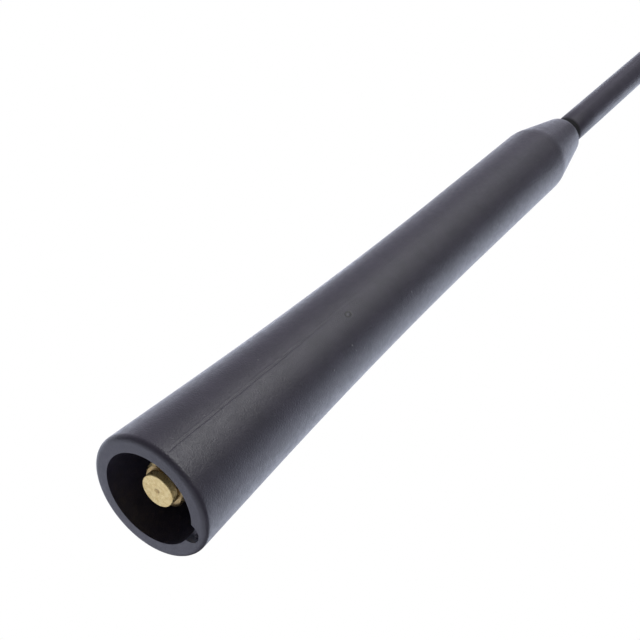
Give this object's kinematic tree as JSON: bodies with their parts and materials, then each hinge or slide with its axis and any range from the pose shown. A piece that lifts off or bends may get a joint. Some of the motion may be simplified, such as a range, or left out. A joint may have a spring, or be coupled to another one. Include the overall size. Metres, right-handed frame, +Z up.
{
  "type": "car mast aerial",
  "caption": "Slim black car aerial: a flared moulded boot with a recessed threaded brass stud in its cupped foot, a rounded shoulder and cone, and a thin sleeved rod with a domed tip.",
  "frame": {"origin": "centre of the boot's rim plane, where the boot's foot meets the aerial's base on the car", "axes": "+Z runs up the mast to the tip; +Y goes through the gate pocket in the rim; the boot's mould parts in the XZ plane"},
  "size_m": [0.014, 0.014, 0.4],
  "materials": {
    "boot_plastic": "satin black moulded plastic with a fine spark-eroded grain",
    "stud_brass": "bright turned brass with lathe rings",
    "core_glass_fibre": "pultruded glass fibre in resin, sealed inside",
    "winding_copper": "enamelled copper wire, sealed inside",
    "sleeve_plastic": "satin black extruded sleeve",
    "cap_plastic": "satin black moulded plastic"
  },
  "bodies": {
    "root": {"base_boot": "boot_plastic", "threaded_stud": "stud_brass", "mast_core": "core_glass_fibre", "radiator_winding": "winding_copper", "mast_sleeve": "sleeve_plastic", "tip_cap": "cap_plastic"}
  },
  "joints": []
}
